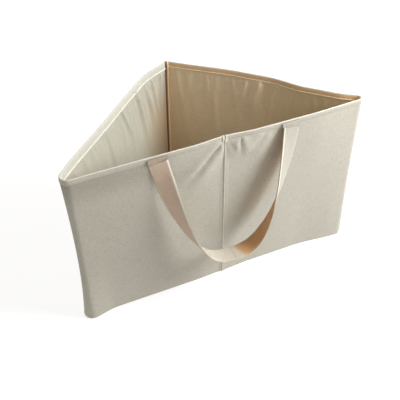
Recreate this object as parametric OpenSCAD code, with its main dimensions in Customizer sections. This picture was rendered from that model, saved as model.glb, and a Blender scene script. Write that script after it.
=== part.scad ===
// Folding three-cornered canvas carrier with one strap handle on its long wall.
// X runs along the long front wall, Y from the front wall to the back corner, Z up.
// The origin is on the floor, at the middle of the whole object's box.
// The front wall is two stiff panels that fold at a seam in the middle. The two short walls meet at the back.

/* [Body] */
// Outer length of each short wall, from a front corner to the back corner
wall_len = 450; // [360:5:520]
// Height of the walls
body_h = 375; // [300:5:420]

/* [Wall layers] */
// Thickness of the outer canvas
cover_t = 1.2; // [0.8:0.1:1.6]
// Thickness of the stiffener board
board_t = 3; // [2:0.5:4]
// Thickness of the lining
lining_t = 1; // [0.6:0.1:1.4]
// Height of the hems that fold over the wall's edges
hem_h = 12; // [9:1:18]
// Thickness of the hem canvas
hem_t = 1; // [0.6:0.1:1.4]

/* [Seams] */
// How far the fold seam's lips stand out of the front wall
lip_d = 6.6; // [6:0.1:8]
// How far the back corner's bound edges stand into the carrier
back_edge_d = 7; // [4:0.5:10]
// Width of each seam edge
edge_w = 1.3; // [0.8:0.1:2]
// Width of the fabric tab on each side of the fold seam and inside the right wall
tab_w = 9; // [6:1:14]

/* [Base] */
// Thickness of the base's outer canvas
base_t = 1.2; // [0.8:0.1:2]

/* [Strap] */
// Width of the strap
strap_w = 38; // [30:1:45]
// Thickness of the strap, two folded layers of canvas
strap_t = 2.5; // [2:0.1:3]
// Distance from the fold seam to each end of the strap
strap_spread = 139; // [120:1:170]
// How far the hanging strap reaches below the rim
strap_drop = 267; // [220:1:300]
// How far the hanging strap's inner edge stands off the wall at the bottom of the loop
strap_stand = 28; // [8:1:36]
// Height of the strap's sewn tails
tail_h = 22; // [15:1:30]

/* [Hidden] */

canvas_colour = "#cdc6b4";
lining_colour = "#e6dcc3";
hem_colour = "#f1e6cb";
board_colour = "#a58f6c";
strap_colour = "#c3a98b";
thread_colour = "#f6efdd";

front_corner = 45;                       // angle between the front wall and a short wall
half_front = wall_len * cos(front_corner);
wall_t = cover_t + board_t + lining_t;
mitre_slope = 1 / tan(front_corner / 2); // of a wall's end at a front corner, per unit of depth
corner_gap = 0.6;                        // each wall's end stays this far from the mitre line
fold_gap = 0.3;                          // each front panel stays this far from the fold plane
back_gap = 0.5;

// Front wall's outer face, placed so that the strap and the back corner are equally far from the origin
strap_lift = 3.2;
front_reach = strap_lift + strap_stand + strap_w;
back_reach = half_front + (2 * hem_t - back_gap) / sqrt(2);
front_y = (front_reach - back_reach) / 2;

// A wall's length, the slope of its two mitred ends per unit of depth, and its clearance at each end
FRONT = [half_front, mitre_slope, 0, corner_gap, fold_gap];
SHORT = [wall_len, mitre_slope, 1, corner_gap, back_gap];

// ---- Placing ----

// The right side is the left side's mirror image
module on_right() mirror([1, 0, 0]) children();

// A wall is drawn from the front corner along +X, with its outer face at y = 0 and depth along +Y
module on_front() translate([-half_front, front_y, 0]) children();
module on_short() translate([-half_front, front_y, 0]) rotate([0, 0, 45]) mirror([0, 1, 0]) children();

// ---- Wall layers ----

// A slab of a wall between two depths, mitred where it meets its neighbours
module layer(wall, from_d, to_d, from_z, to_z, extra = 0)
    translate([0, 0, from_z])
        linear_extrude(to_z - from_z)
            polygon([
                [wall[3] + wall[1] * from_d - extra, from_d],
                [wall[0] - wall[4] - wall[2] * from_d + extra, from_d],
                [wall[0] - wall[4] - wall[2] * to_d + extra, to_d],
                [wall[3] + wall[1] * to_d - extra, to_d]
            ]);

module cover(wall) layer(wall, 0, cover_t, hem_t, body_h - hem_t);
module board(wall) layer(wall, cover_t, cover_t + board_t, hem_t, body_h - hem_t);
module lining(wall) layer(wall, cover_t + board_t, wall_t, hem_t, body_h - hem_t);

// A strip of canvas folded over the top edge of all three layers
module rim(wall) difference() {
    layer(wall, -hem_t, wall_t + hem_t, body_h - hem_h, body_h);
    layer(wall, 0, wall_t, body_h - hem_h - 1, body_h - hem_t, 5);
}

// The same strip folded under the bottom edge
module foot(wall) difference() {
    layer(wall, -hem_t, wall_t + hem_t, 0, hem_h);
    layer(wall, 0, wall_t, hem_t, hem_h + 1, 5);
}

module front_left_cover() color(canvas_colour) on_front() cover(FRONT);
module front_left_board() color(board_colour) on_front() board(FRONT);
module front_left_lining() color(lining_colour) on_front() lining(FRONT);
module front_left_rim() color(hem_colour) on_front() rim(FRONT);
module front_left_foot() color(hem_colour) on_front() foot(FRONT);

module front_right_cover() on_right() front_left_cover();
module front_right_board() on_right() front_left_board();
module front_right_lining() on_right() front_left_lining();
module front_right_rim() on_right() front_left_rim();
module front_right_foot() on_right() front_left_foot();

module left_wall_cover() color(canvas_colour) on_short() cover(SHORT);
module left_wall_board() color(board_colour) on_short() board(SHORT);
module left_wall_lining() color(lining_colour) on_short() lining(SHORT);
module left_wall_rim() color(hem_colour) on_short() rim(SHORT);
module left_wall_foot() color(hem_colour) on_short() foot(SHORT);

module right_wall_cover() on_right() left_wall_cover();
module right_wall_board() on_right() left_wall_board();
module right_wall_lining() on_right() left_wall_lining();
module right_wall_rim() on_right() left_wall_rim();
module right_wall_foot() on_right() left_wall_foot();

// ---- Seams ----

// One of the two lips that the front panels' covers are sewn into
module fold_lip_left() color(canvas_colour)
    translate([-fold_gap - edge_w, front_y - lip_d, hem_h])
        cube([edge_w, lip_d, body_h - 2 * hem_h]);

module fold_lip_right() on_right() fold_lip_left();

// A small fabric tab that is tacked over the rim beside the fold
module fold_tab_left() color(thread_colour)
    translate([-fold_gap - tab_w, front_y - 2 * hem_t, body_h - hem_h + 1])
        cube([tab_w, hem_t, hem_h - 2]);

module fold_tab_right() on_right() fold_tab_left();

// The back corner's bound edge on one wall, standing into the carrier
module back_edge_left() {
    inner_corner = front_y + half_front - wall_t * sqrt(2);
    near = back_gap / sqrt(2);
    far = near + edge_w;
    color(hem_colour)
        translate([0, 0, hem_h])
            linear_extrude(body_h - 2 * hem_h)
                polygon([
                    [-far, inner_corner - far],
                    [-near, inner_corner - near],
                    [-near, inner_corner - back_edge_d],
                    [-far, inner_corner - back_edge_d]
                ]);
}

module back_edge_right() on_right() back_edge_left();

// A tacked tab on the inner side of the right wall's rim
module wall_tab() {
    from_corner = 0.41 * wall_len;
    color(thread_colour) on_right() on_short()
        translate([from_corner, wall_t + hem_t, body_h - hem_h])
            cube([tab_w, hem_t, hem_h - 2]);
}

// ---- Base ----

// Half of the base, up to the fold line that runs from the front seam to the back corner
module base_half(from_z, to_z) {
    inset = wall_t + hem_t + 0.4;
    translate([0, 0, from_z])
        linear_extrude(to_z - from_z)
            polygon([
                [-half_front + inset * mitre_slope, front_y + inset],
                [-fold_gap, front_y + inset],
                [-fold_gap, front_y + half_front - fold_gap - inset * sqrt(2)]
            ]);
}

module base_left_canvas() color(canvas_colour) base_half(0, base_t);
module base_left_lining() color(lining_colour) base_half(base_t, base_t + lining_t);
module base_right_canvas() on_right() base_left_canvas();
module base_right_lining() on_right() base_left_lining();

// ---- Strap ----

// The strap lies flat on the wall at its ends and turns edge-on to the wall at the bottom of the loop
function strap_twist(p) = 90 * pow(sin(p), 1.8);

// The strap's middle line, from its end (0 degrees) to the bottom of the loop (90 degrees)
function strap_mid(p) = [
    -strap_spread * pow(cos(p), 0.7),
    front_y - strap_lift - strap_w / 2 * sin(strap_twist(p)) - strap_stand * pow(sin(p), 6),
    body_h - strap_drop * pow(sin(p), 2)
];

function unit(v) = v / norm(v);
function strap_along(p) = unit(strap_mid(min(p + 0.5, 89.99)) - strap_mid(p - 0.5));

// The direction across the strap, square to its middle line
function strap_across(p) =
    let (
        along = strap_along(p),
        flat = unit([-along.z, 0, along.x]),
        twist = strap_twist(p),
        wide = cos(twist) * flat + sin(twist) * [0, -1, 0]
    ) unit(wide - (wide * along) * along);

strap_rings = 26;
strap_from = asin(sqrt((hem_h + 3) / strap_drop));
strap_to = acos(pow(fold_gap / strap_spread, 1 / 0.7));

module strap_left() {
    rings = [
        for (i = [0 : strap_rings])
            let (
                p = strap_from + (strap_to - strap_from) * i / strap_rings,
                mid = strap_mid(p),
                wide = strap_across(p) * strap_w / 2,
                thick = cross(strap_along(p), strap_across(p)) * strap_t / 2
            ) [mid - wide - thick, mid + wide - thick, mid + wide + thick, mid - wide + thick]
    ];
    sides = [
        for (i = [0 : strap_rings - 1], k = [0 : 3], half = [0, 1])
            let (
                a = 4 * i + k,
                b = 4 * i + (k + 1) % 4
            ) half == 0 ? [a, b, b + 4] : [a, b + 4, a + 4]
    ];
    last = 4 * strap_rings;
    color(strap_colour)
        polyhedron(
            points = [for (ring = rings, point = ring) point],
            faces = concat([[3, 2, 1, 0]], sides, [[last, last + 1, last + 2, last + 3]])
        );
}

module strap_right() on_right() strap_left();

tail_x = -strap_mid(strap_from).x;

// The strap's end, sewn flat on the cover under the rim hem
module strap_tail_left() color(strap_colour)
    translate([-tail_x - strap_w / 2, front_y - hem_t, body_h - hem_h - tail_h])
        cube([strap_w, hem_t, tail_h]);

module strap_tail_right() on_right() strap_tail_left();

// Two rows of tacking through the rim hem above the strap's end
module strap_stitching_left() {
    row_t = 0.5;
    for (row_z = [body_h - hem_h + 3, body_h - 4])
        color(thread_colour)
            translate([-tail_x - strap_w / 2 + 2, front_y - hem_t - row_t, row_z])
                cube([strap_w - 4, row_t, 1]);
}

module strap_stitching_right() on_right() strap_stitching_left();

front_left_cover();
front_left_board();
front_left_lining();
front_left_rim();
front_left_foot();
front_right_cover();
front_right_board();
front_right_lining();
front_right_rim();
front_right_foot();
left_wall_cover();
left_wall_board();
left_wall_lining();
left_wall_rim();
left_wall_foot();
right_wall_cover();
right_wall_board();
right_wall_lining();
right_wall_rim();
right_wall_foot();
fold_lip_left();
fold_lip_right();
fold_tab_left();
fold_tab_right();
back_edge_left();
back_edge_right();
wall_tab();
base_left_canvas();
base_left_lining();
base_right_canvas();
base_right_lining();
strap_tail_left();
strap_tail_right();
strap_stitching_left();
strap_stitching_right();
strap_left();
strap_right();
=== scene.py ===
"""Looks of a folding three-cornered canvas carrier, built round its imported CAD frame.

Metres, Z up, in the CAD part's own frame. Each half of the carrier is one strip of canvas, from the front
seam round a front corner to the back corner. place() puts a point on it from three numbers: how far along
the strip, how deep into the wall, and how high.
"""

import math
import random

import bmesh
import bpy
import numpy as np
from mathutils import Matrix, Vector

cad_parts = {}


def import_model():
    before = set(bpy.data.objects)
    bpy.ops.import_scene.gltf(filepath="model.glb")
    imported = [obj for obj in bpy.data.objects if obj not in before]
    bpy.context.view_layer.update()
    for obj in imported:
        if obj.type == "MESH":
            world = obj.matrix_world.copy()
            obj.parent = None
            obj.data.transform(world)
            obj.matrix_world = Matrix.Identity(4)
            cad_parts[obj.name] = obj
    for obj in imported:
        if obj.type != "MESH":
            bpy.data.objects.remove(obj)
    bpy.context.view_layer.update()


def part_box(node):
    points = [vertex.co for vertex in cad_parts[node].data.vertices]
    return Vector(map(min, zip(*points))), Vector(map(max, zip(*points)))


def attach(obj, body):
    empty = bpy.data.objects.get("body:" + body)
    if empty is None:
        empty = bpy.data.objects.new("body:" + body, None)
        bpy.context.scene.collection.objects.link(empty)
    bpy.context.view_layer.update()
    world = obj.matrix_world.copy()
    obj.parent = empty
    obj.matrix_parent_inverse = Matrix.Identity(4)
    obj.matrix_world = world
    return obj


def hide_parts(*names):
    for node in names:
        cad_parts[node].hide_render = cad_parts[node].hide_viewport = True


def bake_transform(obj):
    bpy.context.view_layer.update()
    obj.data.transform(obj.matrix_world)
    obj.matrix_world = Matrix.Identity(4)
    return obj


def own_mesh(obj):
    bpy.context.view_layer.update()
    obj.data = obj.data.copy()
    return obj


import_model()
MM = 0.001
HALVES = ("left", "right")
SIDE = {"left": -1, "right": 1}
# Where each half's UV maps begin, in metres, so that the two halves don't show the same weave
UV_START = {"left": 0, "right": 2}

# ---- Sizes, from the frame ----

FRONT_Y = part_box("front_left_cover")[0].y
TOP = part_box("front_left_rim")[1].z
BACK_GAP = 0.5 * MM
HALF_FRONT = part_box("left_wall_cover")[1].y - FRONT_Y + BACK_GAP / math.sqrt(2)
WALL_LEN = HALF_FRONT * math.sqrt(2)
WALL_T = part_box("front_left_lining")[1].y - FRONT_Y
COVER_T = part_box("front_left_cover")[1].y - FRONT_Y
BOARD_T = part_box("front_left_board")[1].y - FRONT_Y - COVER_T
LINING_T = WALL_T - COVER_T - BOARD_T
HEM_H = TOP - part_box("front_left_rim")[0].z
FOLD_GAP = -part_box("fold_lip_left")[1].x
STRAP_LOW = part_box("strap_left")[0]
STRAP_W = 38 * MM
STRAP_T = 2.5 * MM
FACING_H = {"left": 15 * MM, "right": 11 * MM}

# ---- The half strip's path in plan ----

CORNER_R = 9 * MM
CORNER_TURN = math.radians(135)
TANGENT = CORNER_R / math.tan(math.radians(22.5))
FRONT_RUN = HALF_FRONT - TANGENT
ARC = CORNER_R * CORNER_TURN
CORNER_S = FRONT_RUN + ARC / 2
LENGTH = FRONT_RUN + ARC + WALL_LEN - TANGENT
BACK_RUN = 60 * MM

# How far the canvas bows out of the CAD's flat walls, at the rim and at the foot, in millimetres. kink is the
# share of the short wall's length at which its bow goes from wall to wall_back.
RIM_BOW = {
    "left": dict(seam=1.2, front=5.5, corner=7.0, wall=10.0, wall_back=12.0, back=-7.0, kink=0.5),
    "right": dict(seam=1.2, front=6.6, corner=2.5, wall=-4.5, wall_back=6.5, back=-7.0, kink=0.36),
}
STRAIGHT = dict(wall=0.0, wall_back=0.0, back=0.0, kink=0.5)
FOOT_BOW = {
    "left": dict(seam=-0.5, front=1.5, corner=12.0, **STRAIGHT),
    "right": dict(seam=-0.5, front=-3.5, corner=7.0, **STRAIGHT),
}
# The share of a wall over which the bow changes: beside the seam, on either side of the front corner, at the
# kink and beside the back corner
SEAM_SHARE = 0.22
CORNER_SHARE = {"left": 0.2, "right": 0.4}
TURN_SHARE = 0.12
KINK_SHARE = 0.18
BACK_SHARE = {"left": 0.22, "right": 0.42}
# How fast the bow fades away from the rim, and from the foot
RIM_POWER = 2.4
FOOT_POWER = {"left": 3.5, "right": 1.5}


def smooth(x):
    """An S curve from 0 to 1."""
    x = np.clip(x, 0, 1)
    return x * x * (3 - 2 * x)


def rise(x, reach):
    """An S curve from 0 to 1 over the first reach millimetres."""
    return smooth(x / (reach * MM))


def outline(half, s):
    """Points of the outer line and its outward normals, s metres along the strip from the front seam."""
    bend = np.clip(s - FRONT_RUN, 0, ARC) / CORNER_R
    before = np.minimum(s, FRONT_RUN)
    after = np.maximum(s - FRONT_RUN - ARC, 0)
    angle = -math.pi / 2 - bend
    x = -before + CORNER_R * np.cos(angle) + after * math.sqrt(0.5)
    y = FRONT_Y + CORNER_R + CORNER_R * np.sin(angle) + after * math.sqrt(0.5)
    normal = np.stack([np.cos(angle), np.sin(angle)], -1)
    point = np.stack([x, y], -1)
    mirror = np.array([-SIDE[half], 1])
    return point * mirror, normal * mirror


def wall_share(s):
    """0 to 1 along the front wall, from the seam to the corner, and 1 to 2 along the short wall."""
    return np.where(s < CORNER_S, s / CORNER_S, 1 + (s - CORNER_S) / (LENGTH - CORNER_S))


def bow_line(bow, s, half):
    """How far the canvas bows outwards along one of its edges."""
    share = wall_share(s)
    front = bow["front"] + (bow["seam"] - bow["front"]) * (1 - smooth(share / SEAM_SHARE))
    front = front + (bow["corner"] - bow["front"]) * (1 - smooth((1 - share) / CORNER_SHARE[half]))
    along = share - 1
    past_kink = smooth((along - bow["kink"] + KINK_SHARE / 2) / KINK_SHARE)
    wall = bow["wall"] + (bow["wall_back"] - bow["wall"]) * past_kink
    wall = wall + (bow["corner"] - bow["wall"]) * (1 - smooth(along / TURN_SHARE))
    wall = wall + (bow["back"] - bow["wall_back"]) * (1 - smooth((1 - along) / BACK_SHARE[half]))
    return np.where(share <= 1, front, wall) * MM


def bow(half, s, z):
    """How far the canvas bows outwards at a point of the strip."""
    rim, foot = bow_line(RIM_BOW[half], s, half), bow_line(FOOT_BOW[half], s, half)
    share = np.clip(z / TOP, 0, 1)
    return rim * share**RIM_POWER + foot * (1 - share) ** FOOT_POWER[half]


def place(half, s, depth, z):
    """Points s along the strip, depth into the wall and z high. The wall's end is mitred at the back."""
    s, depth, z = np.broadcast_arrays(np.asarray(s, float), np.asarray(depth, float), np.asarray(z, float))
    inset = depth - bow(half, s, z)
    mitre = smooth((s - LENGTH + BACK_RUN) / BACK_RUN)
    point, normal = outline(half, s - inset * mitre)
    point = point - normal * inset[..., None]
    return np.concatenate([point, z[..., None]], -1)


def waves(u, v, seed, count, longest):
    """Smooth undulation from -1 to 1: count sine waves in several directions, up to longest metres long."""
    draw = random.Random(seed)
    total = np.zeros(np.broadcast(u, v).shape)
    weight = 0
    for _ in range(count):
        length = longest * draw.uniform(0.35, 1)
        angle = draw.uniform(0, math.pi)
        phase = draw.uniform(0, 2 * math.pi)
        turn = 2 * math.pi / length
        total = total + length * np.sin(turn * (u * math.cos(angle) + v * math.sin(angle)) + phase)
        weight += length
    return total / weight


def short_wall(distance):
    """Distance along the strip of a point on the short wall, from its sharp front corner."""
    return FRONT_RUN + ARC + distance - TANGENT


def crease(s, z, start, end, width, depth, raised=False):
    """A fold line from start to end that widens and fades as it goes. raised puts it between two swells."""
    run = np.array(end) - np.array(start)
    length = math.hypot(*run)
    along = ((s - start[0]) * run[0] + (z - start[1]) * run[1]) / length
    aside = ((s - start[0]) * run[1] - (z - start[1]) * run[0]) / length
    share = along / length
    spread = width * (0.6 + 0.9 * np.clip(share, 0, 1.3))
    fade = smooth((share + 0.15) / 0.25) * (1 - smooth((share - 0.45) / 0.75))
    line = np.exp(-((aside / spread) ** 2))
    swell = np.exp(-((aside / spread / 3.2) ** 2)) if raised else 0.4 * np.exp(-((aside / spread - 1.9) ** 2))
    return depth * fade * (line - swell)


# ---- Meshes ----


def grid_uv(u, v):
    return np.stack(np.broadcast_arrays(u, v), -1)


def unit(vectors):
    return vectors / np.linalg.norm(vectors, axis=-1)[:, None]


def travelled(points):
    """Distance along a line at each of its points."""
    return np.concatenate([[0], np.cumsum(np.linalg.norm(np.diff(points, axis=0), axis=1))])


def add_object(name, data):
    obj = bpy.data.objects.new(name, data)
    bpy.context.scene.collection.objects.link(obj)
    return obj


def finish_mesh(name, verts, faces, uvs, materials, face_slots=None, sharp=40):
    """Make the object, smooth up to an edge angle of sharp degrees. uvs has a row for each vertex."""
    mesh = bpy.data.meshes.new(name)
    mesh.from_pydata([tuple(v) for v in verts], [], faces)
    layer = mesh.uv_layers.new(name="UVMap")
    corners = np.zeros(len(mesh.loops), int)
    mesh.loops.foreach_get("vertex_index", corners)
    layer.data.foreach_set("uv", np.asarray(uvs, float)[corners].ravel())
    for material in materials:
        mesh.materials.append(material)
    if face_slots is not None:
        mesh.polygons.foreach_set("material_index", face_slots)
    bm = bmesh.new()
    bm.from_mesh(mesh)
    bmesh.ops.recalc_face_normals(bm, faces=bm.faces)
    bm.to_mesh(mesh)
    bm.free()
    mesh.polygons.foreach_set("use_smooth", [True] * len(mesh.polygons))
    mesh.set_sharp_from_angle(angle=math.radians(sharp))
    return add_object(name, mesh)


def slab(name, front, back, uv, materials, front_slots=0, back_slots=0):
    """A closed thin shell between two grids of points, rows by columns by 3. Slots go by column."""
    rows, cols = front.shape[:2]
    count = rows * cols
    index = np.arange(count).reshape(rows, cols)
    quads = np.stack([index[:-1, :-1], index[1:, :-1], index[1:, 1:], index[:-1, 1:]], -1).reshape(-1, 4)
    faces = quads.tolist() + (quads[:, ::-1] + count).tolist()
    slots = [np.tile(np.broadcast_to(side, cols - 1), rows - 1) for side in (front_slots, back_slots)]
    slots = np.concatenate(slots).tolist()
    border = list(index[0, :]) + list(index[1:, -1]) + list(index[-1, -2::-1]) + list(index[-2:0:-1, 0])
    for a, b in zip(border, border[1:] + border[:1]):
        faces.append([int(a), int(b), int(b + count), int(a + count)])
        slots.append(slots[0])
    verts = np.concatenate([front.reshape(-1, 3), back.reshape(-1, 3)])
    uvs = np.concatenate([uv.reshape(-1, 2), uv.reshape(-1, 2)])
    return finish_mesh(name, verts, faces, uvs, materials, slots)


def strip_stations(step, start=0.0, end=None):
    """Distances along the strip, closer together round the front corner."""
    end = LENGTH if end is None else end
    turns = np.linspace(FRONT_RUN - 4 * MM, FRONT_RUN + ARC + 4 * MM, 17)
    front = np.linspace(0, FRONT_RUN - 4 * MM, max(3, round(FRONT_RUN / step)))[:-1]
    back = np.linspace(FRONT_RUN + ARC + 4 * MM, LENGTH, max(3, round(WALL_LEN / step)))[1:]
    every = np.concatenate([front, turns, back])
    every = every[(every > start + step / 4) & (every < end - step / 4)]
    return np.concatenate([[start], every, [end]])


def swept(name, half, stations, section, thickness, materials, extra=None, slots=0):
    """A band of cloth that follows the strip. section is its outer line as (depth, height) rows."""
    section = np.asarray(section, float)
    along = unit(np.gradient(section, axis=0))
    inward = np.stack([-along[:, 1], along[:, 0]], -1)
    under = section + inward * thickness
    s = np.asarray(stations)[:, None]
    push = 0 if extra is None else extra(s, section[None, :, 1])
    front = place(half, s, section[None, :, 0] + push, section[None, :, 1])
    back = place(half, s, under[None, :, 0] + push, under[None, :, 1])
    travel = travelled(section)
    uv = grid_uv(s + UV_START[half], travel[None, :])
    return slab(name, front, back, uv, materials, slots, slots)


def arc_points(centre, radius, start, end, count):
    """Points on an arc. start and end are in degrees."""
    angles = np.radians(np.linspace(start, end, count))
    return [(centre[0] + radius * math.cos(a), centre[1] + radius * math.sin(a)) for a in angles]


def heights(low, high, step):
    """Evenly spaced heights, about step apart."""
    return np.linspace(low, high, max(2, round((high - low) / step) + 1))


def between(t, travel, rows):
    return np.array([np.interp(t, travel, column) for column in rows.T])


STITCH_RINGS = ((-1, 0.0), (-0.82, 0.75), (0, 1.0), (0.82, 0.75), (1, 0.0))
STITCH_SIDES = 6


def stitch_row(name, points, ups, material, length=3.2 * MM, gap=1.3 * MM, radius=0.38 * MM):
    """Separate thread stitches along a line of points. ups point out of the cloth."""
    points = np.asarray(points)
    ups = np.asarray(ups)
    travel = travelled(points)
    verts, faces = [], []
    total = int(travel[-1] // (length + gap))
    for number in range(total):
        middle = (number + 0.5) * (length + gap)
        ends = [between(middle + side * length / 2, travel, points) for side in (-1, 1)]
        up = between(middle, travel, ups)
        along = (ends[1] - ends[0]) / 2
        centre = (ends[0] + ends[1]) / 2
        across = np.cross(along / np.linalg.norm(along), up)
        first = len(verts)
        for position, size in STITCH_RINGS:
            sides = 1 if size == 0 else STITCH_SIDES
            for k in range(sides):
                turn = 2 * math.pi * k / STITCH_SIDES
                around = size * radius * (across * math.cos(turn) + 0.8 * up * math.sin(turn))
                verts.append(centre + along * position + around)
        ring = [first + 1 + STITCH_SIDES * k for k in range(3)]
        last = ring[2] + STITCH_SIDES
        for k in range(STITCH_SIDES):
            n = (k + 1) % STITCH_SIDES
            faces.append([first, ring[0] + n, ring[0] + k])
            faces.append([ring[0] + k, ring[0] + n, ring[1] + n, ring[1] + k])
            faces.append([ring[1] + k, ring[1] + n, ring[2] + n, ring[2] + k])
            faces.append([ring[2] + k, ring[2] + n, last])
    uvs = np.asarray(verts)[:, [0, 2]]
    return finish_mesh(name, verts, faces, uvs, [material], sharp=80)


def seam_stitches(name, half, stations, depth, z, material, **kw):
    """A row of stitches on the strip at one depth and height. A negative depth side faces out."""
    points = place(half, stations, depth, z)
    _, normal = outline(half, np.asarray(stations))
    facing = 1 if depth < WALL_T / 2 else -1
    ups = np.concatenate([normal * facing, np.zeros((len(stations), 1))], -1)
    return stitch_row(name, points, ups, material, **kw)


# ---- Materials ----


def link(a, b):
    a.id_data.links.new(a, b)


def fill(node, **values):
    """Set a node's inputs. An underscore stands for a space."""
    for name, value in values.items():
        node.inputs[name.replace("_", " ")].default_value = value


def math_node(operation, a, b=None):
    """A Math node. a and b are sockets, and one of them may be a number."""
    tree = (b if isinstance(a, (int, float)) else a).id_data
    node = tree.nodes.new("ShaderNodeMath")
    node.operation = operation
    for socket, value in zip(node.inputs, (a, b)):
        if value is None:
            continue
        if isinstance(value, (int, float)):
            socket.default_value = value
        else:
            link(value, socket)
    return node.outputs[0]


def times(a, b):
    return math_node("MULTIPLY", a, b)


def plus(a, b):
    return math_node("ADD", a, b)


def scaled_noise(vector, scale_u, scale_v, detail=2.0, roughness=0.5):
    nodes = vector.id_data.nodes
    mapping = nodes.new("ShaderNodeMapping")
    fill(mapping, Scale=(scale_u, scale_v, 1))
    link(vector, mapping.inputs["Vector"])
    noise = nodes.new("ShaderNodeTexNoise")
    fill(noise, Scale=1, Detail=detail, Roughness=roughness)
    link(mapping.outputs[0], noise.inputs["Vector"])
    return noise.outputs["Fac"]


def colour_mix(factor, a, b, blend="MIX"):
    """A Mix node for colours. a and b are colours or sockets."""
    node = factor.id_data.nodes.new("ShaderNodeMix")
    node.data_type = "RGBA"
    node.blend_type = blend
    sockets = {s.identifier: s for s in node.inputs}
    for key, value in (("Factor_Float", factor), ("A_Color", a), ("B_Color", b)):
        if isinstance(value, tuple):
            sockets[key].default_value = (*value, 1)
        else:
            link(value, sockets[key])
    return next(o for o in node.outputs if o.identifier == "Result_Color")


def ramp(value, low, high):
    """A smooth step from 0 at low to 1 at high, which may be the lower of the two."""
    node = value.id_data.nodes.new("ShaderNodeMapRange")
    node.interpolation_type = "SMOOTHSTEP"
    fill(node, From_Min=low, From_Max=high)
    link(value, node.inputs["Value"])
    return node.outputs["Result"]


def mottle(colour, noise, low, high, share, tone):
    """Mix in another tone, up to share of it, where a noise runs from low to high."""
    return colour_mix(times(ramp(noise, low, high), share), colour, tone)


def new_material(name):
    material = bpy.data.materials.new(name)
    material.use_nodes = True
    nodes = material.node_tree.nodes
    return material, nodes, nodes["Principled BSDF"]


def surface(shader, colour, roughness, relief, strength, distance):
    """Wire a colour, a roughness and a bump from a relief into the shader."""
    link(colour, shader.inputs["Base Color"])
    link(roughness, shader.inputs["Roughness"])
    bumper = shader.id_data.nodes.new("ShaderNodeBump")
    fill(bumper, Strength=strength, Distance=distance)
    link(relief, bumper.inputs["Height"])
    link(bumper.outputs[0], shader.inputs["Normal"])


def cloth(name, light, dark, fleck, yarn=0.9 * MM, bump=0.35, flecks=0.5, stain=None):
    """Plain-weave cotton: over-and-under yarns, slubs both ways, small flecks and a slow change of tone."""
    material, nodes, shader = new_material(name)
    uv = nodes.new("ShaderNodeUVMap")
    uv.uv_map = "UVMap"
    vector = uv.outputs[0]
    split = nodes.new("ShaderNodeSeparateXYZ")
    link(vector, split.inputs[0])
    u, v, _ = split.outputs
    turn = math.pi / yarn
    over = math_node("SINE", times(u, turn))
    under = math_node("SINE", times(v, turn))
    weave = times(over, under)
    slub_u = scaled_noise(vector, 60, 1000, 3)
    slub_v = scaled_noise(vector, 1000, 60, 3)
    slub = times(plus(slub_u, slub_v), 0.5)
    tone = scaled_noise(vector, 9, 6, 3)
    grain = scaled_noise(vector, 420, 420, 4, 0.65)
    blotch = scaled_noise(vector, 60, 45, 4, 0.6)
    spots = scaled_noise(vector, 260, 330, 2)
    streak = scaled_noise(vector, 330, 9, 2)
    colour = colour_mix(ramp(slub, 0.36, 0.62), dark, light)
    colour = mottle(colour, tone, 0.4, 0.7, 0.15, dark)
    colour = mottle(colour, grain, 0.45, 0.75, 0.3, dark)
    colour = mottle(colour, blotch, 0.45, 0.7, 0.12, light)
    colour = mottle(colour, spots, 0.64, 0.71, flecks, fleck)
    colour = mottle(colour, streak, 0.5, 0.72, 0.16, dark)
    if stain is not None:
        colour = stain(u, v, colour)
    rough = plus(times(slub, 0.25), 0.72)
    relief = plus(times(weave, 0.22), slub)
    relief = plus(relief, times(grain, 0.5))
    surface(shader, colour, rough, relief, strength=bump, distance=0.6 * MM)
    fill(shader, Sheen_Weight=0.12, Sheen_Roughness=0.5, Specular_IOR_Level=0.2)
    return material


def webbing(name, *tones, stain=None):
    """The strap's finer weave."""
    return cloth(name, *tones, yarn=0.7 * MM, stain=stain)


def tape(name, *tones):
    """The narrow tape of pipings and bound edges, finer still."""
    return cloth(name, *tones, yarn=0.6 * MM)


def thread_material(name, light, dark):
    """Twisted cotton thread: fine slanted ply lines."""
    material, nodes, shader = new_material(name)
    coordinates = nodes.new("ShaderNodeTexCoord")
    wave = nodes.new("ShaderNodeTexWave")
    wave.bands_direction = "DIAGONAL"
    fill(wave, Scale=900, Distortion=2)
    link(coordinates.outputs["Object"], wave.inputs["Vector"])
    plies = wave.outputs["Fac"]
    rough = plus(times(plies, 0.2), 0.6)
    surface(shader, colour_mix(plies, dark, light), rough, plies, strength=0.4, distance=0.2 * MM)
    fill(shader, Sheen_Weight=0.2)
    return material


def board_material():
    """Pressed fibreboard, hidden between canvas and lining."""
    material, nodes, shader = new_material("fibreboard")
    coordinates = nodes.new("ShaderNodeTexCoord")
    fibre = scaled_noise(coordinates.outputs["Object"], 300, 300, 6, 0.7)
    colour = colour_mix(fibre, (0.2, 0.13, 0.07), (0.42, 0.3, 0.18))
    rough = plus(times(fibre, 0.3), 0.6)
    surface(shader, colour, rough, fibre, strength=0.3, distance=0.3 * MM)
    return material


# A stain changes a cloth's colour by its place u along and v up the UV map.


def even_on_front(half, tone):
    """One tone inside the front wall, the same in both halves."""
    corner = UV_START[half] + CORNER_S

    def stain(u, v, colour):
        share = ramp(u, corner + 12 * MM, corner - 40 * MM)
        return colour_mix(share, colour, tone)

    return stain


def left_lining_tone_and_painted_shade(u, v, colour):
    """Even inside the front wall, and painted warm shade low down beside the back corner."""
    along = ramp(u, LENGTH - 170 * MM, LENGTH - 15 * MM)
    down = ramp(v, TOP - 10 * MM, TOP - 160 * MM)
    share = times(times(along, down), 0.95)
    colour = even_on_front("left", FRONT_TONE)(u, v, colour)
    return colour_mix(share, colour, (0.48, 0.36, 0.225))


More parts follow.
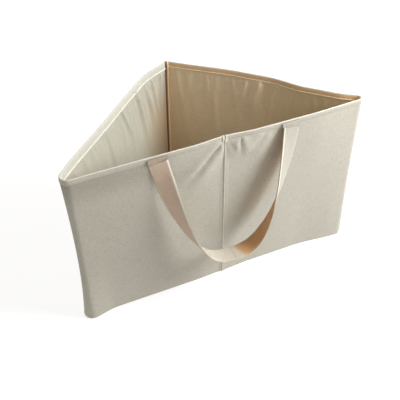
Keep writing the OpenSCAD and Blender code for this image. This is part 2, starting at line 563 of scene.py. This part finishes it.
def right_lining_tone_and_painted_shade(u, v, colour):
    """Even inside the front wall, and painted shade that deepens towards the front corner."""
    colour = even_on_front("right", FRONT_TONE)(u, v, colour)
    corner = UV_START["right"] + CORNER_S
    share = ramp(u, corner + 260 * MM, corner + 60 * MM)
    return colour_mix(share, colour, (0.84, 0.83, 0.76), "MULTIPLY")


def painted_warm_shade_by_strap(u, v, colour):
    """Faint painted warm shade on the right front panel beside the strap, on a slanted line that curves in.
    """
    along = plus(u, -UV_START["right"])
    below = math_node("DIVIDE", math_node("SUBTRACT", TOP, v), 240 * MM)
    line = plus(times(math_node("POWER", below, 1.25), -92 * MM), 130 * MM)
    away = math_node("ABSOLUTE", math_node("SUBTRACT", line, along))
    share = times(ramp(away, 42 * MM, 2 * MM), ramp(below, 1.08, 0.75))
    share = times(share, PAINTED_WARM_SHADE)
    return colour_mix(share, colour, (1.0, 0.8, 0.58), "MULTIPLY")


def painted_shade_at_corner(u, v, colour):
    """Painted shade: the left front panel darkens towards its outer corner, most just under the rim."""
    away = ramp(u, 60 * MM, 260 * MM)
    ended = ramp(u, CORNER_S + 120 * MM, CORNER_S + 10 * MM)
    lift = ramp(v, 20 * MM, 150 * MM)
    slow = times(times(away, lift), 0.33)
    near_rim = times(ramp(v, TOP - 75 * MM, TOP - 18 * MM), 0.55)
    band = times(near_rim, ramp(u, 80 * MM, 180 * MM))
    share = times(plus(slow, band), ended)
    return colour_mix(share, colour, (0.7, 0.69, 0.67), "MULTIPLY")


def painted_light_at_middle(u, v, colour):
    """Painted light: the strap's back turns from brown to pale at a slanted crease beside its middle."""
    slanted = plus(v, times(u, 0.35))
    share = ramp(slanted, STRAP_PATH - 26 * MM, STRAP_PATH - 13 * MM)
    return colour_mix(share, colour, (0.56, 0.5, 0.41))


# About the length of one strap half along its middle line
STRAP_PATH = 320 * MM
# How strong the painted warm shade beside the strap is on the canvas
PAINTED_WARM_SHADE = 0.36
FRONT_TONE = (0.62, 0.55, 0.43)
FRONT_FACING_TONE = (0.64, 0.58, 0.47)
# Each cloth's light yarn, dark yarn and flecks, in linear colour
CANVAS_TONES = ((0.475, 0.445, 0.375), (0.4, 0.37, 0.305), (0.2, 0.15, 0.1))
CANVAS = cloth("canvas", *CANVAS_TONES, flecks=0.65)
COVERS = {
    "left": cloth("canvas_left", *CANVAS_TONES, flecks=0.65, stain=painted_shade_at_corner),
    "right": cloth("canvas_right", *CANVAS_TONES, flecks=0.65, stain=painted_warm_shade_by_strap),
}
CREST = cloth("hem_crest", (0.72, 0.69, 0.61), (0.64, 0.61, 0.53), (0.5, 0.42, 0.32), bump=0.3)
# The right lining's tan is painted warm shade on the wall turned from the key light.
LININGS = {
    "left": cloth("lining_pale", (0.5, 0.48, 0.4), (0.435, 0.41, 0.335), (0.34, 0.27, 0.19), bump=0.25,
                  stain=left_lining_tone_and_painted_shade),
    "right": cloth("lining_tan", (0.97, 0.79, 0.57), (0.88, 0.69, 0.475), (0.4, 0.28, 0.18), bump=0.25,
                   stain=right_lining_tone_and_painted_shade),
}
# The right facing's tan is painted warm shade too.
FACING = {
    "left": cloth("facing_pale", (0.62, 0.6, 0.52), (0.54, 0.52, 0.44), (0.4, 0.33, 0.24), bump=0.3,
                  stain=even_on_front("left", FRONT_FACING_TONE)),
    "right": cloth("facing_tan", (0.88, 0.6, 0.34), (0.76, 0.49, 0.26), (0.4, 0.26, 0.15), bump=0.3,
                   stain=even_on_front("right", FRONT_FACING_TONE)),
}
# The right piping's tan is painted warm shade, kept near full brightness as a painted highlight.
PIPING = {
    "left": tape("piping_pale", (0.86, 0.84, 0.76), (0.78, 0.75, 0.66), (0.5, 0.42, 0.32)),
    "right": tape("piping_tan", (0.96, 0.79, 0.57), (0.88, 0.69, 0.48), (0.6, 0.46, 0.32)),
}
# The left face's rose is painted warm shade, as the left limb turns away from the key light.
STRAP_FACE = {
    "left": webbing("strap_face_painted_warm_shade", (0.54, 0.41, 0.31), (0.46, 0.34, 0.25), (0.26, 0.18, 0.13)),
    "right": webbing("strap_face_cream", (0.45, 0.42, 0.355), (0.39, 0.36, 0.3), (0.3, 0.23, 0.17)),
}
# The left end's darker rose is painted shade under the rim.
STRAP_END = {
    "left": webbing("strap_end_painted_shade", (0.4, 0.32, 0.255), (0.34, 0.27, 0.21), (0.26, 0.18, 0.13)),
    "right": STRAP_FACE["right"],
}
# The right back's brown is painted warm shade on the side turned from the key light.
STRAP_BACK = {
    "left": webbing("strap_back_pale", (0.6, 0.54, 0.45), (0.52, 0.46, 0.37), (0.34, 0.26, 0.18)),
    "right": webbing("strap_back_painted_warm_shade", (0.64, 0.37, 0.19), (0.53, 0.29, 0.14), (0.26, 0.14, 0.07),
                     stain=painted_light_at_middle),
}
# The left edge's dark brown is painted shade in the gap, the right edge's bright tan a painted highlight.
BACK_EDGE = {
    "left": tape("back_edge_brown", (0.46, 0.3, 0.18), (0.36, 0.22, 0.12), (0.2, 0.12, 0.07)),
    "right": tape("back_edge_tan", (0.98, 0.76, 0.5), (0.88, 0.62, 0.38), (0.5, 0.34, 0.2)),
}
# Pale edge tape, partly a painted highlight on lit edges and on the seam ridge.
EDGE_TAPE_HIGHLIGHT = tape("strap_edge", (0.7, 0.66, 0.57), (0.62, 0.57, 0.48), (0.45, 0.36, 0.26))
# A dark line of painted shade along the right strap's edge.
STRAP_SHADE_LINE = tape("strap_edge_painted_shade", (0.2, 0.12, 0.06), (0.15, 0.09, 0.045), (0.1, 0.06, 0.03))
THREAD = thread_material("thread", (0.86, 0.8, 0.68), (0.7, 0.63, 0.5))
THREAD_TAN = thread_material("thread_tan", (0.4, 0.31, 0.2), (0.28, 0.2, 0.12))
THREAD_ROSE = thread_material("thread_rose", (0.5, 0.41, 0.33), (0.4, 0.32, 0.25))
BOARD = board_material()

# ---- Baking pieces, and the CAD nodes of a half ----


def bend_corner(piece):
    """Bake a piece's transform into its mesh."""
    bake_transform(piece)
    return piece


def both(kind, half):
    """The CAD nodes of one kind on the front and short wall of a half."""
    return f"front_{half}_{kind}", f"{half}_wall_{kind}"


# ---- Walls ----


def canvas_push(half):
    """Shallow waves and creases of the outer canvas, none at its ends. Positive pushes into the wall.

    A crease: its start and end, each as mm from the seam and mm below the rim, its width and its depth in mm.
    """
    seed = 11 if half == "left" else 12
    creases = {
        "left": (((4, 9), (76, 84), 6.5, 9.5), ((3, 16), (24, 70), 4, 1.5), ((152, 14), (118, 80), 9, 1.6)),
        "right": (((5, 10), (24, 46), 3.5, 2.6), ((31, 12), (35, 54), 5, 4.5), ((84, 14), (48, 60), 8, 2.6)),
    }[half]

    def push(s, z):
        total = 0
        for start, end, width, depth in creases:
            ends = [(at * MM, TOP - below * MM) for at, below in (start, end)]
            total = total + crease(s, z, *ends, width * MM, depth * MM, raised=True)
        total = total * rise(s - 1 * MM, 6) * rise(TOP - z - 4 * MM, 8)
        return np.clip(total + slack(s, z), -5.5 * MM, 0.5 * MM)

    def slack(s, z):
        fade = rise(s, 30) * rise(LENGTH - s, 40)
        fade = fade * rise(np.abs(s - CORNER_S), 40) * rise(TOP - z, 25)
        rough = 0.8 + 1.2 * rise(s - CORNER_S, 60)
        return rough * MM * waves(s, z * 0.6, seed, count=9, longest=0.14) * fade * rise(z, 20)

    return push


def outer_canvas(half):
    """The outer cover, one cloth from the front seam to the back corner, turned in under the foot."""
    levels = heights(3 * MM, TOP - 3 * MM, 4 * MM)
    under_rim = [(0.7 * MM * rise(z - TOP + 15 * MM, 5), z) for z in levels]
    turn = arc_points((3 * MM, 3 * MM), 3 * MM, 180, 270, 7)
    section = under_rim[::-1] + turn[1:] + [(WALL_T, 0.0)]
    stations = strip_stations(4 * MM, FOLD_GAP)
    name = "canvas_" + half
    piece = swept(name, half, stations, section[::-1], -COVER_T, [COVERS[half]], canvas_push(half))
    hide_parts(*both("cover", half))
    return bend_corner(piece)


def lining_push(half):
    """Soft upright wrinkles that hang from the hem, none round the corners.

    A crease is given as in canvas_push, from the short wall's front corner. A negative depth stands out.
    """
    draw = random.Random(21 if half == "left" else 22)
    share = 1.0 if half == "left" else 0.55
    folds = []
    place_s = 25 * MM
    while place_s < LENGTH - 20 * MM:
        folds.append((place_s, draw.uniform(-0.25, 0.25), draw.uniform(3, 7) * MM,
                      draw.uniform(0.5, 3.0) * MM * share, draw.uniform(60, 260) * MM))
        place_s += draw.uniform(10, 26) * MM
    creases = {
        "left": (((253, 18), (284, 100), 5, -3.6), ((322, 18), (350, 160), 6, -4.4),
                 ((362, 22), (392, 150), 6, -4.0), ((300, 20), (318, 110), 5, 2.6),
                 ((386, 18), (404, 120), 4, -3.0), ((338, 30), (352, 120), 3.5, 2.4)),
        "right": (((194, 20), (208, 125), 3.2, 5.0), ((226, 16), (244, 96), 12, -5.0),
                  ((256, 18), (268, 80), 7, -3.2), ((345, 20), (342, 80), 6, -1.5)),
    }[half]

    def push(s, z):
        drop = TOP - FACING_H[half] - z
        total = 0
        for at, lean, width, height, reach in folds:
            spread = width * (1 + drop / (120 * MM))
            shape = np.exp(-(((s - at - lean * drop) / spread) ** 2))
            total = total + height * shape * rise(drop, 12) * np.exp(-np.maximum(drop, 0) / reach)
        for start, end, width, depth in creases:
            ends = [(short_wall(at * MM), TOP - below * MM) for at, below in (start, end)]
            total = total - crease(s, z, *ends, width * MM, depth * MM)
        total = np.maximum(total, -0.5 * MM)
        total = total + 1.0 * MM * (1 + waves(s, z, seed=31, count=8, longest=0.2)) * rise(drop, 40)
        fade = rise(s, 20) * rise(LENGTH - s, 30)
        fade = fade * rise(np.abs(s - CORNER_S) - 14 * MM, 30)
        return total * fade * rise(z - 2 * MM, 15)

    return push


def lining(half):
    """The inner cloth, hung from the rim."""
    section = [(WALL_T, z) for z in heights(2.8 * MM, TOP - FACING_H[half] + 3 * MM, 4 * MM)]
    stations = strip_stations(3 * MM, FOLD_GAP)
    piece = swept("lining_" + half, half, stations, section, LINING_T, [LININGS[half]], lining_push(half))
    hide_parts(*both("lining", half))
    return bend_corner(piece)


def board(half, wall):
    """A stiffener board, bowed with its wall."""
    front = wall == "front"
    low = 3 * MM if front else FRONT_RUN + ARC + 1 * MM
    high = FRONT_RUN - 1 * MM if front else LENGTH - 3 * MM
    s = np.linspace(low, high, 60)[:, None]
    z = heights(4 * MM, TOP - 5 * MM, 15 * MM)[None, :]
    face = place(half, s, COVER_T + 0.7 * MM, z)
    back = place(half, s, COVER_T + BOARD_T - 0.2 * MM, z)
    uv = grid_uv(s, z)
    name = f"front_{half}" if front else f"{half}_wall"
    piece = slab("board_" + name, face, back, uv, [BOARD])
    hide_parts(name + "_board")
    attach(piece, name)


def rim_section(half):
    """The folded rim: flush outside, a narrow round crest, and a wider facing inside with a piped edge."""
    out = -0.3 * MM
    inner = WALL_T + 0.5 * MM
    crest_r = 1.9 * MM
    crest = (0.45 * WALL_T, TOP - crest_r)
    outside = [(out + 0.2 * MM, TOP - HEM_H + 1.5 * MM), (out, TOP - HEM_H + 2 * MM)]
    outside += [(out, z) for z in heights(TOP - HEM_H + 4 * MM, TOP - 6 * MM, 2 * MM)]
    over = arc_points(crest, crest_r, 170, 10, 11)
    inside = [(inner, z) for z in heights(TOP - FACING_H[half] + 2 * MM, TOP - 6 * MM, 2 * MM)][::-1]
    piping = arc_points((inner + 0.1 * MM, TOP - FACING_H[half]), 1.3 * MM, 80, -90, 9)
    slots = [0] * (len(outside) + 1) + [1] * (len(over) - 2)
    slots += [2] * (len(inside) + 1) + [3] * (len(piping) - 1)
    return outside + over + inside + piping, slots


def rim_push(half):
    seed = 41 if half == "left" else 42

    def push(s, z):
        fade = rise(s, 20) * rise(LENGTH - s, 20)
        fade = fade * rise(np.abs(s - CORNER_S), 30)
        return 0.25 * MM * waves(s, 0 * z, seed, count=9, longest=0.09) * fade + 0 * z

    return push


def rim(half):
    """The hem that is folded over the top edge."""
    stations = strip_stations(4 * MM, FOLD_GAP)
    section, slots = rim_section(half)
    materials = [CANVAS, CREST, FACING[half], PIPING[half]]
    piece = swept("rim_" + half, half, stations, section, -0.9 * MM, materials, rim_push(half), slots)
    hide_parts(*both("rim", half))
    return bend_corner(piece)


def foot(half):
    """The canvas's turned-up edge inside the bottom, sewn to the base."""
    depth = WALL_T + 0.9 * MM
    section = [(depth - 0.3 * MM, 1.2 * MM), (depth, 1.8 * MM)]
    section += [(depth, z) for z in heights(3 * MM, HEM_H - 1 * MM, 2 * MM)] + [(depth - 0.4 * MM, HEM_H)]
    stations = strip_stations(6 * MM, 1 * MM, LENGTH - 1 * MM)
    piece = swept("foot_" + half, half, stations, section, 0.8 * MM, [CREST])
    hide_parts(*both("foot", half))
    return bend_corner(piece)


def wall_stitches(half):
    """Rows of stitches: outside under the rim, inside on the facing, and inside above the foot."""
    rows = (("rim_out", -0.4 * MM, TOP - 7.5 * MM, THREAD_TAN, 0.42 * MM),
            ("rim_in", WALL_T + 0.6 * MM, TOP - FACING_H[half] + 3 * MM, THREAD, 0.32 * MM),
            ("foot_in", WALL_T + 1.0 * MM, HEM_H - 2.5 * MM, THREAD, 0.32 * MM))
    pieces = []
    stations = strip_stations(3 * MM, 3 * MM, LENGTH - 3 * MM)
    for label, depth, z, thread, radius in rows:
        piece = seam_stitches(f"stitches_{label}_{half}", half, stations, depth, z, thread, radius=radius)
        pieces.append(bend_corner(piece))
    return pieces


def corner_stitches(half):
    """Two upright rows outside, beside the back corner."""
    z = heights(8 * MM, TOP - HEM_H - 2 * MM, 4 * MM)
    pieces = []
    for label, inset in (("near", 4 * MM), ("far", 9 * MM)):
        name = f"stitches_back_{label}_{half}"
        stations = np.full(len(z), LENGTH - inset)
        piece = seam_stitches(name, half, stations, -0.1 * MM, z, THREAD, radius=0.34 * MM)
        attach(piece, half + "_wall")
        pieces.append(piece)
    return pieces


# ---- Seams ----


def rib(name, line, out, across, width, material):
    """An upright rounded rib: line holds its base points, out how far it stands, across its sideways axis."""
    line = np.asarray(line, float)
    verts, uvs = [], []
    sides = 10
    travel = line[:, 2]
    for k, base in enumerate(line):
        reach = np.linalg.norm(out[k])
        outward = out[k] / reach
        end = min(travel[k] - travel[0], travel[-1] - travel[k])
        swell = 1 - 0.35 * (1 - float(rise(end, 2)))
        for j in range(sides):
            a = math.pi * j / (sides - 1)
            level = (reach - width / 2) + width / 2 * math.sin(a) if 0 < j < sides - 1 else 0
            verts.append(base + outward * level * swell + across * width / 2 * math.cos(a) * swell)
            uvs.append((j * 1.5 * MM, travel[k]))
    faces = []
    for k in range(len(line) - 1):
        for j in range(sides):
            n = (j + 1) % sides
            a, b = k * sides, (k + 1) * sides
            faces.append([a + j, a + n, b + n, b + j])
    faces.append(list(range(sides)))
    faces.append([len(line) * sides - 1 - j for j in range(sides)])
    return finish_mesh(name, verts, faces, uvs, [material], sharp=70)


def fold_hinge():
    """The cloth hinge of the front seam: a flat strip with a narrow pinched ridge down its middle."""
    z = heights(1.5 * MM, TOP - 5 * MM, 5 * MM)
    near = np.array([0, 0.4, 0.8, 1.1, 1.4, 1.8, 2.4, 3.4, 5, 7, 9]) * MM
    ridge = 2.3 * MM * np.exp(-((near / (0.9 * MM)) ** 2))
    step = 0.45 * MM * (1 - rise(near - 7 * MM, 2)) + 0.05 * MM
    out = (ridge + step)[:, None]
    under = (step - 0.4 * MM)[:, None]
    faces = {}
    for half in HALVES:
        faces[half] = [place(half, near[:, None], -level, z[None, :]) for level in (out, under)]
    front, back = (np.concatenate([faces["left"][k][:0:-1], faces["right"][k]]) for k in range(2))
    rows = np.concatenate([-near[:0:-1], near])
    uv = grid_uv(rows[:, None], z[None, :])
    front, back, uv = (np.swapaxes(grid, 0, 1) for grid in (front, back, uv))
    # The ridge's crest takes the pale edge tape, a painted highlight.
    slots = (np.abs(rows[:-1] + rows[1:]) / 2 < 1.0 * MM).astype(int)
    piece = slab("fold_hinge_soft", front, back, uv, [CANVAS, EDGE_TAPE_HIGHLIGHT], slots, 0)
    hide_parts("fold_lip_left", "fold_lip_right")
    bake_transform(piece)


def fold_tab(half):
    """A tacked patch of tape that wraps the rim beside the front seam."""
    out = -1.1 * MM
    section = [(out, z) for z in heights(TOP - HEM_H - 1 * MM, TOP - 4 * MM, 2 * MM)]
    section += arc_points((WALL_T / 2, TOP - 3.6 * MM), WALL_T / 2 + 1.3 * MM, 165, 15, 9)
    section += [(WALL_T + 1.5 * MM, z) for z in heights(TOP - HEM_H + 3 * MM, TOP - 6 * MM, 2 * MM)][::-1]
    stations = np.linspace(FOLD_GAP + 0.8 * MM, 5 * MM, 7)
    piece = swept("fold_tack_" + half, half, stations, section, -0.7 * MM, [FACING["left"]])
    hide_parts("fold_tab_" + half)
    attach(piece, "front_" + half)


def back_edge(half):
    """The back corner's bound edge on one wall, standing into the carrier."""
    width = 1.2 * MM if half == "left" else 3.4 * MM
    gap = 0.35 * MM
    z = heights(3 * MM, TOP + (1.2 * MM if half == "right" else -2 * MM), 5 * MM)
    base = place(half, LENGTH, WALL_T + 0.4 * MM, z)
    base[:, 0] = SIDE[half] * (gap + width / 2)
    base[:, 1] -= 0.4 * MM
    stand = 3.5 * MM if half == "left" else 6.5 * MM
    stand = stand + 0.6 * MM * waves(z, 0 * z, seed=61, count=6, longest=0.15)
    out = np.stack([0 * z, -stand, 0 * z], -1)
    piece = rib("back_edge_soft_" + half, base, out, np.array([1, 0, 0]), width, BACK_EDGE[half])
    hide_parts("back_edge_" + half)
    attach(piece, half + "_wall")


def wall_tab():
    """A small tacked tab on the inner side of the right wall's rim."""
    middle = short_wall(190 * MM)
    low = TOP - FACING_H["right"]
    depth = WALL_T + 1.9 * MM
    section = [(depth, z) for z in heights(low - 9 * MM, low + 2 * MM, 1.5 * MM)]
    section += [(depth - 0.6 * MM, low + 3 * MM)]
    stations = np.linspace(middle - 4.5 * MM, middle + 4.5 * MM, 8)
    piece = swept("rim_tab_right", "right", stations, section, 0.9 * MM, [PIPING["right"]])
    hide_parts("wall_tab")
    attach(piece, "right_wall")


# ---- Base ----


def base_layer(half, kind, low, thickness, material):
    """Half of the base, from the foot of the walls to the fold line under the front seam."""
    side = SIDE[half]
    s = strip_stations(8 * MM, 2 * MM, LENGTH - 2 * MM)
    edge = place(half, s, WALL_T + 1.9 * MM, 0.0)
    share = s / LENGTH
    fold = np.stack([0 * s + side * FOLD_GAP, edge[0, 1] + (edge[-1, 1] - edge[0, 1]) * share, 0 * s], -1)
    edge[:, 0] = np.where(side * edge[:, 0] < FOLD_GAP, side * FOLD_GAP, edge[:, 0])
    t = np.linspace(0, 1, 40)[None, :, None]
    flat = edge[:, None, :] * (1 - t) + fold[:, None, :] * t
    puff = 0
    if kind == "lining":
        puff = 0.35 * MM * (1 + waves(flat[..., 0], flat[..., 1], seed=71, count=8, longest=0.12))
    bottom = flat + np.array([0, 0, low])
    top = flat + np.array([0, 0, low + thickness])
    top[..., 2] += puff
    uv = flat[..., :2]
    piece = slab(f"base_{kind}_{half}", top, bottom, uv, [material])
    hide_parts(f"base_{half}_{kind}")
    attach(piece, half + "_wall")
    inner = place(half, FRONT_RUN + ARC + WALL_LEN / 2, WALL_T + 2 * MM, 0.0)
    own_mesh(piece)
    return piece


# ---- Strap ----

# The U's middle line: half its width, how far its inner edge keeps off the canvas, how far it drops below the
# rim, and how much further out its bottom stands
STRAP_SPREAD = 139 * MM
STRAP_LIFT = 8.2 * MM
STRAP_DROP = TOP - STRAP_LOW.z - STRAP_T / 2
STRAP_STAND = FRONT_Y - STRAP_LIFT - STRAP_W - STRAP_LOW.y
# The loose part starts this far below the rim's top, at the swing's own axis
STRAP_BELOW = 13 * MM
STRAP_START = math.asin(math.sqrt(STRAP_BELOW / STRAP_DROP))
# How full the U's curve is, and how low down it starts to stand out
STRAP_ROUND = 0.7
STRAP_STAND_POWER = 5.5
# twist: how late the strap turns over. In millimetres, belly and stand: how far the limb bows out sideways
# and away from the canvas, and near: how much closer to the canvas it starts
STRAP_SHAPE = {
    "left": dict(twist=1.78, belly=0.0, stand=0.0, near=1.6),
    "right": dict(twist=2.35, belly=1.5, stand=9.0, near=0.2),
}
# Where the stitch rows run, as a share of the strap's half width
STITCH_LANE = 0.84


def press(piece):
    """Give a piece of the strap its own copy of its mesh."""
    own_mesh(piece)


def strap_frame(p, half):
    """Middle line, sideways direction and face direction of the strap, for angles p up to 90 degrees."""
    shape = STRAP_SHAPE[half]

    def middle(angle):
        cos, sin = np.clip(np.cos(angle), 0, 1), np.sin(angle)
        twist = math.pi / 2 * sin ** shape["twist"]
        midway = (2 * sin * cos) ** 2
        x = -STRAP_SPREAD * cos**STRAP_ROUND - shape["belly"] * MM * midway
        y = FRONT_Y - STRAP_LIFT - STRAP_W / 2 * np.sin(twist) - STRAP_STAND * sin**STRAP_STAND_POWER
        y = y - shape["stand"] * MM * midway
        y = y + shape["near"] * MM * (1 - smooth((sin - math.sin(STRAP_START)) / 0.25))
        return np.stack([x, y, TOP - STRAP_DROP * sin**2], -1)

    step = 0.002
    along = unit(middle(np.minimum(p + step, math.pi / 2 - 1e-5)) - middle(p - step))
    twist = (math.pi / 2 * np.sin(p) ** shape["twist"])[:, None]
    flat = unit(np.stack([-along[:, 2], 0 * p, along[:, 0]], -1))
    across = np.cos(twist) * flat + np.sin(twist) * np.array([0, -1, 0])
    across = unit(across - (across * along).sum(-1)[:, None] * along)
    return middle(p), across, np.cross(along, across)


def strap_stations(half):
    """Angles along one strap half, evenly spaced in length, from under the rim to the middle."""
    fine = np.linspace(STRAP_START, math.pi / 2 - 1e-4, 2000)
    line, _, _ = strap_frame(fine, half)
    travel = travelled(line)
    travel = travel[line[:, 0] <= -0.1 * MM]
    wanted = np.linspace(0, travel[-1], 110)
    return np.interp(wanted, travel, fine[: len(travel)]), wanted


def strap_half(half):
    """A folded ribbon with soft edges: a slightly crowned face, and its other face in a second material."""
    p, travel = strap_stations(half)
    middle, across, facing = strap_frame(p, half)
    lane = np.linspace(-1, 1, 22)
    round_off = (1 - np.abs(lane) ** 10) ** 0.5
    sewn_in = 0.12 * np.exp(-((np.abs(lane) - STITCH_LANE) / 0.05) ** 2)
    thick = STRAP_T / 2 * round_off * (1 - sewn_in)
    ripple = 0.5 * MM * waves(travel[:, None], lane[None, :] * STRAP_W, seed=81, count=7, longest=0.08)
    fade = rise(travel, 30)[:, None]
    ripple = ripple * fade * rise(travel[-1] - travel, 30)[:, None]
    width = STRAP_W / 2 * lane[None, :, None]
    ribbon = middle[:, None, :] + across[:, None, :] * width + facing[:, None, :] * ripple[..., None]
    front = ribbon + facing[:, None, :] * thick[None, :, None]
    back = ribbon - facing[:, None, :] * thick[None, :, None]
    uv = grid_uv(lane[None, :] * STRAP_W / 2, travel[:, None])
    mirror = np.array([-SIDE[half], 1, 1])
    materials = [STRAP_FACE[half], STRAP_BACK[half], EDGE_TAPE_HIGHLIGHT, STRAP_SHADE_LINE]
    in_face, in_back, in_edge, in_shade_line = range(4)
    centre = (lane[:-1] + lane[1:]) / 2
    # The pale edge lanes are partly a painted highlight.
    face_slots = np.where(centre > 0.8, in_edge, in_face)
    back_slots = np.full(len(centre), in_back)
    # On the right, the outermost lane is a painted shade line.
    if half == "right":
        face_slots = np.where(centre > 0.9, in_shade_line, np.where(centre > 0.7, in_edge, in_face))
        back_slots = np.where(centre < -0.86, in_edge, in_back)
    piece = slab("strap_soft_" + half, front * mirror, back * mirror, uv, materials, face_slots, back_slots)
    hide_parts("strap_" + half)
    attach(piece, "handle_" + half)
    press(piece)


def strap_rows(half):
    """Two rows of stitches along the strap, near its edges, on both faces."""
    p, _ = strap_stations(half)
    middle, across, facing = strap_frame(p, half)
    mirror = np.array([-SIDE[half], 1, 1])
    rows = (("upper_face", 1, 1), ("lower_face", -1, 1), ("upper_back", 1, -1), ("lower_back", -1, -1))
    for label, edge, sign in rows:
        level = sign * STRAP_T / 2 * 0.86
        points = middle + across * STRAP_W / 2 * edge * STITCH_LANE + facing * level
        piece = stitch_row(f"strap_stitches_{label}_{half}", points * mirror, facing * sign * mirror, THREAD,
                           length=3.0 * MM, radius=0.32 * MM)
        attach(piece, "handle_" + half)
        press(piece)


def strap_tail(half):
    """The strap's end, sewn flat on the canvas under the rim, flush with the start of the hanging part."""
    start = strap_frame(np.array([STRAP_START]), half)[0][0]
    s = np.linspace(-start[0] - STRAP_W / 2, -start[0] + STRAP_W / 2, 20)
    face = -(2.7 if half == "left" else 3.2) * MM
    section = [(face, z) for z in heights(TOP - HEM_H - 2.5 * MM, TOP - 4.7 * MM, 1.5 * MM)]
    section += [(face + 0.5 * MM, TOP - 4.1 * MM), (-0.9 * MM, TOP - 3.7 * MM)]
    piece = swept("strap_end_" + half, half, s, section, 0.7 * MM, [STRAP_END[half]])
    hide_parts("strap_tail_" + half)
    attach(piece, "front_" + half)
    press(piece)
    stations = np.linspace(s[0] + 2 * MM, s[-1] - 2 * MM, 30)
    row = seam_stitches("strap_tack_" + half, half, stations, face - 0.1 * MM, TOP - 7.5 * MM, THREAD_ROSE,
                        length=1.8 * MM, gap=0.6 * MM, radius=0.3 * MM)
    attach(row, "front_" + half)
    press(row)
    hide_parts("strap_stitching_" + half)


# ---- Building ----

for side_name in HALVES:
    canvas = outer_canvas(side_name)
    inside = lining(side_name)
    for wall_name in ("front", "short"):
        board(side_name, wall_name)
    hem = rim(side_name)
    turned = foot(side_name)
    rows = wall_stitches(side_name) + corner_stitches(side_name)
    fold_tab(side_name)
    back_edge(side_name)
    base_canvas = base_layer(side_name, "canvas", 0.2 * MM, 1.0 * MM, CANVAS)
    base_lining = base_layer(side_name, "lining", 1.3 * MM, 0.9 * MM, FACING["left"])
    strap_half(side_name)
    strap_rows(side_name)
    strap_tail(side_name)
wall_tab()
fold_hinge()

# ---- Stage, light and camera ----


def stage_mesh(name, bm, grey, rough, glow):
    """A plain piece of the stage with a little light of its own."""
    mesh = bpy.data.meshes.new(name)
    bm.to_mesh(mesh)
    bm.free()
    obj = add_object(name, mesh)
    material, _, shader = new_material(name)
    fill(shader, Base_Color=(grey, grey, grey, 1), Roughness=rough)
    fill(shader, Emission_Color=(1, 1, 1, 1), Emission_Strength=glow)
    mesh.materials.append(material)
    return obj


def floor():
    bm = bmesh.new()
    bmesh.ops.create_grid(bm, x_segments=2, y_segments=2, size=20)
    stage_mesh("floor", bm, grey=0.4, rough=0.9, glow=0.7)


def backdrop():
    """A far pale dome that only the camera sees."""
    bm = bmesh.new()
    bmesh.ops.create_icosphere(bm, subdivisions=4, radius=25)
    obj = stage_mesh("backdrop", bm, grey=0, rough=0.5, glow=0.87)
    obj.visible_diffuse = False
    obj.visible_glossy = False
    obj.visible_transmission = False
    obj.visible_shadow = False


def area_light(name, spot, size, energy, colour=(1, 1, 1)):
    """A round soft light that looks at the carrier."""
    data = bpy.data.lights.new(name, "AREA")
    data.shape = "DISK"
    data.size = size
    data.energy = energy
    data.color = colour
    obj = add_object(name, data)
    obj.location = spot
    aim = Vector((0, 0, 0.2)) - Vector(spot)
    obj.rotation_euler = aim.to_track_quat("-Z", "Y").to_euler()
    obj.visible_camera = False


def world():
    """Even, slightly warm light from all round."""
    sky = bpy.data.worlds.new("studio")
    sky.use_nodes = True
    fill(sky.node_tree.nodes["Background"], Color=(1.0, 0.97, 0.92, 1), Strength=0.38)
    bpy.context.scene.world = sky


def camera():
    """Above and to the left of the front wall, looking down at it, with a slight roll.

    Solved from where the photograph shows the rim's corners.
    """
    azimuth, tilt, roll = math.radians(-23.24), math.radians(41.99), math.radians(-0.74)
    right = Vector((math.cos(azimuth), math.sin(azimuth), 0))
    ahead = Vector((-math.sin(azimuth), math.cos(azimuth), 0))
    forward = ahead * math.cos(tilt) - Vector((0, 0, math.sin(tilt)))
    up = ahead * math.sin(tilt) + Vector((0, 0, math.cos(tilt)))
    rolled_right = right * math.cos(roll) + up * math.sin(roll)
    rolled_up = up * math.cos(roll) - right * math.sin(roll)
    data = bpy.data.cameras.new("camera")
    data.lens = 56.39
    data.sensor_width = 36
    obj = add_object("camera", data)
    turn = Matrix((rolled_right, rolled_up, -forward)).transposed()
    spot = Vector((-0.4157, FRONT_Y - 0.8472, 1.0642))
    obj.matrix_world = Matrix.Translation(spot) @ turn.to_4x4()
    bpy.context.scene.camera = obj


floor()
backdrop()
world()
area_light("key", (1.05, -0.66, 1.0), size=0.72, energy=27.5, colour=(0.95, 0.98, 1.0))
area_light("back_fill", (0.1, 2.2, 1.7), size=1.6, energy=34)
camera()
bpy.context.scene.view_settings.view_transform = "Standard"
